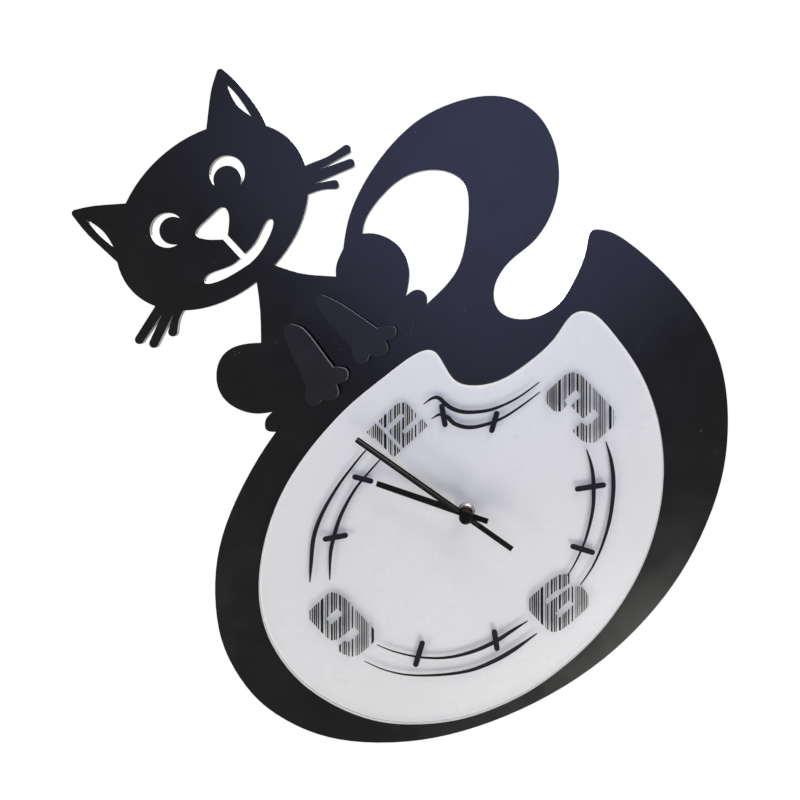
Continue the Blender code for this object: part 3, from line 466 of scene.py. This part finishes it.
def numerals():
    one = rounded([(-12.0, 57.2), (-5.3, 57.2), (-5.3, 81.4), (-13.4, 81.4), (-13.6, 75.5),
                   (-12.0, 75.5)], 0.5)
    two = rounded([(-3.0, 81.4), (13.5, 81.4), (18.4, 78.3), (18.4, 68.2), (16.5, 66.2), (3.7, 66.2),
                   (3.7, 63.1), (18.8, 63.1), (18.8, 57.0), (-3.0, 57.2), (-3.0, 72.0), (11.8, 72.0),
                   (11.8, 75.2), (-3.0, 75.0)], 0.6)
    striped("print_12", 53.1, one, two)
    three = rounded([(85.0, -9.5), (93.0, -9.3), (94.5, -13.8), (105.1, -14.2), (105.1, -8.8),
                     (95.5, -8.6), (95.5, 3.2), (105.1, 3.0), (105.1, 8.7), (94.6, 8.7), (94.6, 5.4),
                     (88.5, 4.5), (85.0, 8.0), (85.0, 16.0), (89.5, 20.4), (107.0, 20.4), (111.5, 18.2),
                     (114.3, 13.0), (114.3, -17.5), (112.0, -22.0), (107.5, -25.6), (91.0, -25.2),
                     (86.5, -21.5), (85.0, -17.0)], 1.2)
    striped("print_3", -60.4, three)
    six = rounded([(-15.3, -75.0), (-10.0, -70.0), (8.0, -70.6), (15.5, -72.3), (20.4, -76.2),
                   (20.2, -78.4), (17.6, -81.0), (9.2, -79.8), (7.0, -78.3), (-3.0, -77.8),
                   (-4.5, -80.9), (3.0, -81.4), (15.5, -82.9), (20.3, -87.3), (20.3, -92.8),
                   (18.6, -97.0), (14.0, -100.4), (0.0, -100.2), (-9.0, -99.3), (-13.8, -96.6),
                   (-15.3, -92.0)], 1.2)
    six_hole = rounded([(-4.0, -88.7), (9.0, -88.7), (9.0, -92.7), (-4.0, -92.7)], 0.8)
    striped("print_6", -48.9, six, six_hole)
    nine = rounded([(-123.7, 18.0), (-121.0, 21.6), (-102.0, 21.6), (-98.8, 17.5), (-97.3, 11.0),
                    (-97.3, -15.5), (-99.6, -20.0), (-103.8, -22.0), (-116.0, -21.4), (-121.0, -18.5),
                    (-123.6, -12.5), (-123.6, -8.0), (-116.5, -8.0), (-115.3, -10.7), (-105.5, -11.2),
                    (-105.5, -5.9), (-115.5, -5.2), (-119.0, -4.7), (-122.6, -2.4), (-123.7, 2.0)], 1.2)
    nine_hole = rounded([(-115.5, 10.5), (-105.5, 10.5), (-105.5, 5.2), (-115.5, 5.2)], 0.8)
    striped("print_9", 94.2, nine, nine_hole)


def stroke(name, *points):
    """A pen stroke of the broken ring. Each point is (x, z, how wide the pen is there)."""
    line = through(points)
    left, right = [], []
    for i, (x, z, wide) in enumerate(line):
        before, after = line[max(i - 1, 0)], line[min(i + 1, len(line) - 1)]
        along = Vector((after[0] - before[0], after[1] - before[1])).normalized() * (wide / 2)
        left.append((x - along.y, z + along.x))
        right.append((x + along.y, z - along.x))
    printed(name, flat([left + right[::-1]]))


def ring():
    """Two strokes between each pair of numerals, thick at one end or in the middle."""
    stroke("ring_top_left_outer", (-107.0, 35.0, 0.8), (-98.0, 43.5, 2.4), (-85.0, 54.8, 2.8),
           (-70.0, 62.5, 2.5), (-50.0, 68.5, 1.8), (-30.0, 72.0, 1.3), (-21.0, 73.0, 0.9))
    stroke("ring_top_left_inner", (-96.5, 27.3, 0.8), (-85.0, 39.0, 2.3), (-75.0, 46.2, 2.7),
           (-62.0, 53.3, 2.4), (-45.0, 59.0, 1.8), (-30.0, 61.2, 1.3), (-18.0, 62.3, 0.9))
    stroke("ring_bottom_left_outer", (-116.0, -26.8, 0.6), (-110.3, -40.0, 0.9), (-100.5, -53.7, 1.3),
           (-85.0, -67.8, 1.8), (-70.0, -78.0, 2.2), (-55.0, -84.0, 2.7), (-40.0, -87.6, 2.7),
           (-21.5, -90.2, 0.7))
    stroke("ring_bottom_left_inner", (-103.0, -24.3, 0.6), (-97.3, -36.0, 1.0), (-87.5, -50.0, 1.4),
           (-75.0, -61.8, 1.8), (-60.0, -70.4, 2.4), (-45.0, -75.5, 2.7), (-33.0, -77.7, 2.2),
           (-20.5, -80.1, 0.7))
    stroke("ring_bottom_right_outer", (96.3, -29.5, 0.7), (90.0, -41.5, 2.4), (80.0, -54.2, 2.8),
           (65.0, -67.2, 2.4), (50.0, -76.4, 1.8), (35.0, -82.9, 1.3), (20.5, -86.4, 0.7))
    stroke("ring_bottom_right_inner", (83.7, -24.5, 0.7), (78.0, -35.8, 2.2), (70.0, -46.0, 2.7),
           (60.0, -55.9, 2.3), (45.0, -66.0, 1.7), (30.0, -72.8, 1.2), (18.5, -76.3, 0.7))
    stroke("ring_top_right_outer", (26.0, 69.3, 0.6), (33.0, 68.2, 1.8), (36.2, 65.0, 2.7),
           (37.3, 56.0, 2.8), (42.0, 47.5, 2.6), (52.0, 39.0, 2.2), (62.0, 34.0, 1.7), (75.0, 30.3, 1.3),
           (91.0, 28.3, 0.7))
    stroke("ring_top_right_inner", (23.3, 58.8, 0.6), (29.0, 57.3, 1.8), (31.6, 53.0, 2.7),
           (32.3, 46.0, 2.8), (37.5, 38.0, 2.6), (47.0, 31.8, 2.2), (58.0, 27.5, 1.7), (72.0, 25.0, 1.3),
           (87.0, 23.4, 0.7))


TICK_WIDTH = 3.6
END_STEPS = 8


def tick(hour, start, end):
    """One hour mark: a straight bar with round ends, over the ring."""
    along = Vector((end[0] - start[0], end[1] - start[1]))
    turn = math.atan2(along.y, along.x)
    reach = along.normalized() * (TICK_WIDTH / 2)
    middles = ((end[0] - reach.x, end[1] - reach.y), (start[0] + reach.x, start[1] + reach.y))
    outline = []
    for half, (x, z) in enumerate(middles):
        for i in range(END_STEPS + 1):
            angle = turn - math.pi / 2 + half * math.pi + i * math.pi / END_STEPS
            outline.append((x + TICK_WIDTH / 2 * math.cos(angle),
                            z + TICK_WIDTH / 2 * math.sin(angle)))
    printed(f"tick_{hour}", flat([outline]), INK_GAP + INK_THICK)


def ticks():
    tick(1, (34.9, 61.6), (26.3, 48.6))
    tick(2, (58.3, 33.2), (45.4, 25.6))
    tick(4, (60.3, -38.4), (77.3, -50.0))
    tick(5, (33.2, -63.2), (41.6, -77.6))
    tick(7, (-40.2, -69.0), (-48.3, -81.0))
    tick(8, (-79.0, -43.0), (-94.6, -52.0))
    tick(10, (-82.0, 49.6), (-67.8, 40.6))
    tick(11, (-39.8, 66.6), (-32.2, 54.6))


# ---------------------------------------------------------------- the minute hand's rib

MINUTE_HAND_LEAN = math.radians(-11.8)
RIB_SECTION = [(0.85, 0.0), (0.48, 0.37), (-0.48, 0.37), (-0.85, 0.0)]    # across, and how high


def rib(name, start, end):
    """The sloping flanks of the rib pressed along the minute hand, from start to end."""
    bm = bmesh.new()
    rings = [[bm.verts.new((x, -high, z)) for x, high in RIB_SECTION] for z in (start, end)]
    for i, j in zip(range(4), (1, 2, 3, 0)):
        bm.faces.new((rings[0][i], rings[0][j], rings[1][j], rings[1][i]))
    bm.faces.new(rings[0])
    bm.faces.new(rings[1])
    bmesh.ops.recalc_face_normals(bm, faces=bm.faces)
    hand_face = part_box("minute_hand")[0].y + RIB_HIGH
    place = Matrix.Translation((HANDS_AXIS.x, hand_face, HANDS_AXIS.z))
    bm.transform(place @ Matrix.Rotation(MINUTE_HAND_LEAN, 4, "Y") @ Matrix.Scale(MM, 4))
    obj = add_object(name, bm, RIB_HIGHLIGHT_PAINT)
    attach(obj, "minute")


# ---------------------------------------------------------------- build

rib("rib_long", 5.2, 84.3)
rib("rib_tail", -9.7, -5.2)
numerals()
ring()
ticks()

at_hands = tuple(HANDS_AXIS)
LOOKS = {
    # Plate's cut walls at 0.45 against the legs' 0.3 on the same laminate: the extra is painted light over the
    # shade on those walls
    "body_plate": black_acrylic("plate_acrylic", 0.45, 0.23),
    "left_leg": black_acrylic("leg_acrylic", 0.3, 0.34),
    "dial_backing": white_acrylic(),
    "dial_cover": clear_acrylic(),
    "hour_hand": black_paint("hand_paint"),
    "hand_cap": black_paint("cap_paint", 0.35),
    "hour_hand_bush": turned_metal("hand_bush_brass", (0.75, 0.58, 0.28), (0.55, 0.4, 0.16),
                                   at_hands),
    "shaft_nut": turned_metal("clamp_brass", (0.8, 0.75, 0.68), (0.68, 0.62, 0.55), at_hands),
    "minute_shaft": turned_metal("shaft_steel", grey(0.62), grey(0.5), at_hands),
    "hanger_plate": plated_steel("hanger_steel", (0.62, 0.63, 0.66), (0.45, 0.46, 0.5), 0.33),
    "stator": plated_steel("stator_steel", grey(0.52), grey(0.4), 0.38),
    "quartz_crystal": plated_steel("crystal_can", grey(0.7), grey(0.6), 0.22),
    "battery_contact_positive": plated_steel("contact_steel", (0.66, 0.65, 0.6),
                                             (0.55, 0.54, 0.5), 0.25),
    "front_case": moulded("case_plastic", grey(0.013), grey(0.019), 0.5),
    "setting_knob": moulded("knob_plastic", grey(0.02), grey(0.03), 0.45),
    "left_leg_spacer_upper": moulded("spacer_plastic", grey(0.01), grey(0.014), 0.5),
    "minute_wheel": moulded("wheel_plastic", (0.74, 0.73, 0.68), (0.8, 0.79, 0.75), 0.4,
                            900.0, 0.00001),
    "rotor": moulded("rotor_magnet", grey(0.04), grey(0.065), 0.45, 2600.0),
    "control_chip": moulded("chip_resin", grey(0.006), grey(0.01), 0.25, 300.0, 0.00006),
    "hanger_block": black_acrylic("back_acrylic", 0.04, 0.25),
    "rubber_gasket": rubber(),
    "coil": coil_wire(),
    "circuit_board": circuit_board(),
    "battery": battery_wrap(),
}

# Nodes that the record gives one slot share the look made for one of them
slot_of = {entry["node"]: entry["material_slot"] for entry in frame["record"]["subparts"]}
look_of_slot = {slot_of[node]: look for node, look in LOOKS.items()}
for name, obj in NODES.items():
    obj.data.materials.clear()
    obj.data.materials.append(look_of_slot[slot_of[name]])


# ---------------------------------------------------------------- studio

def area_light(name, location, aim, size, power, colour, spread=180):
    light = bpy.data.lights.new(name, "AREA")
    light.shape = "RECTANGLE"
    light.size, light.size_y = size
    light.energy = power
    light.color = colour
    light.spread = math.radians(spread)
    lamp = bpy.data.objects.new(name, light)
    bpy.context.scene.collection.objects.link(lamp)
    lamp.location = location
    lamp.rotation_euler = (Vector(aim) - Vector(location)).to_track_quat("-Z", "Y").to_euler()


def studio():
    centre = (0.0, 0.0, -0.1)
    warm = (1.0, 0.99, 0.92)
    area_light("left_softbox", (-2.3, -0.8, 0.5), centre, (1.8, 1.8), 60.0, warm)
    area_light("right_softbox", (2.6, -0.6, 1.1), centre, (1.8, 1.8), 87.0, warm)
    area_light("low_softbox", (-0.5, -0.9, -1.4), centre, (1.2, 0.8), 18.0, warm)
    area_light("blue_glow", (0.32, -0.8, 0.14), (0.16, 0.0, 0.02), (0.9, 0.9), 0.62,
               (0.4, 0.45, 1.0), 70)
    area_light("back_softbox", (0.6, 1.6, 0.6), centre, (1.4, 1.4), 30.0, (1.0, 1.0, 1.0))

    world = bpy.data.worlds.new("studio_air")
    bpy.context.scene.world = world
    world.use_nodes = True
    tree = world.node_tree
    output = tree.nodes["World Output"]
    ambient = tree.nodes["Background"]
    ambient.inputs["Color"].default_value = (1.0, 1.0, 0.99, 1.0)
    ambient.inputs["Strength"].default_value = AMBIENT
    white = tree.nodes.new("ShaderNodeBackground")
    white.inputs["Color"].default_value = (1.0, 1.0, 1.0, 1.0)
    seen = tree.nodes.new("ShaderNodeLightPath").outputs["Is Camera Ray"]
    choice = tree.nodes.new("ShaderNodeMixShader")
    tree.links.new(seen, choice.inputs[0])
    tree.links.new(ambient.outputs[0], choice.inputs[1])
    tree.links.new(white.outputs[0], choice.inputs[2])
    tree.links.new(choice.outputs[0], output.inputs["Surface"])

    bm = bmesh.new()
    bmesh.ops.create_grid(bm, x_segments=24, y_segments=24, size=FLOOR_HALF)
    floor = add_object("studio_floor", bm, floor_material())
    floor.location = FLOOR_PLACE


def camera():
    """Straight at the wall from close by, turned about its line of sight."""
    data = bpy.data.cameras.new("camera")
    data.sensor_width = SENSOR_MM
    data.lens = LENS_MM
    data.shift_x, data.shift_y = LENS_SHIFT
    data.clip_start = 0.01
    obj = bpy.data.objects.new("camera", data)
    bpy.context.scene.collection.objects.link(obj)
    right = Vector((math.cos(LEAN), 0.0, -math.sin(LEAN)))
    up = Vector((math.sin(LEAN), 0.0, math.cos(LEAN)))
    back = Vector((0.0, -1.0, 0.0))
    turn = Matrix((right, up, back)).transposed().to_4x4()
    place = Vector((DIAL_MIDDLE.x + EYE_RIGHT, PLATE_FRONT - EYE_AWAY, DIAL_MIDDLE.z + EYE_UP))
    obj.matrix_world = Matrix.Translation(place) @ turn
    bpy.context.scene.camera = obj


studio()
camera()
bpy.context.scene.view_settings.view_transform = "Standard"
